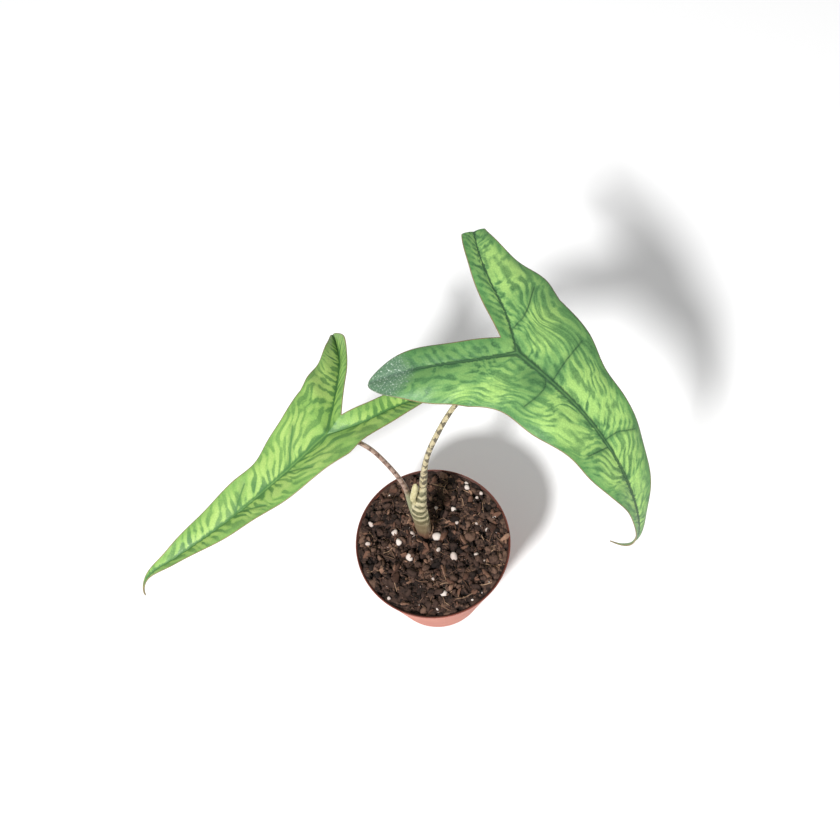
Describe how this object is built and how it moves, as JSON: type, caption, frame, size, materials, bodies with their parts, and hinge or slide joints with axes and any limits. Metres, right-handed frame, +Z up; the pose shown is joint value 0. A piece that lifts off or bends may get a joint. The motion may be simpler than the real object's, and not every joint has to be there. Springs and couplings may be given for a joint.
{
  "type": "potted arrow-leaf house plant",
  "caption": "Young reticulata zebra alocasia: arrow-shaped netted leaves hanging from barred stalks, in a round nursery pot filled with potting mix.",
  "frame": {"origin": "centre of the pot's base, on the surface that the pot stands on", "axes": "+Z up along the pot's axis, +X to the right and -Y towards the viewer in the reference view"},
  "size_m": [0.2852, 0.1756, 0.2618],
  "materials": {
    "pot": "terracotta-coloured moulded plastic, satin",
    "soil": "dark loose potting mix with perlite and bark, matt",
    "stem_sheath": "barred yellow-green sheath, satin",
    "stalk_cream": "cream stalk with dark bars, satin",
    "stalk_brown": "brownish stalk with dark bars, satin",
    "shoot": "pale yellow-green sheath, satin",
    "leaf_mid_green": "netted mid-green leaf, soft satin gloss",
    "leaf_lime_green": "netted lime-green leaf, soft satin gloss"
  },
  "bodies": {
    "root": {"pot": "pot", "soil": "soil", "stem_base": "stem_sheath", "stalk_right": "stalk_cream", "stalk_left": "stalk_brown", "shoot_sheath": "shoot", "blade_right": "leaf_mid_green", "blade_left": "leaf_lime_green"}
  },
  "joints": []
}
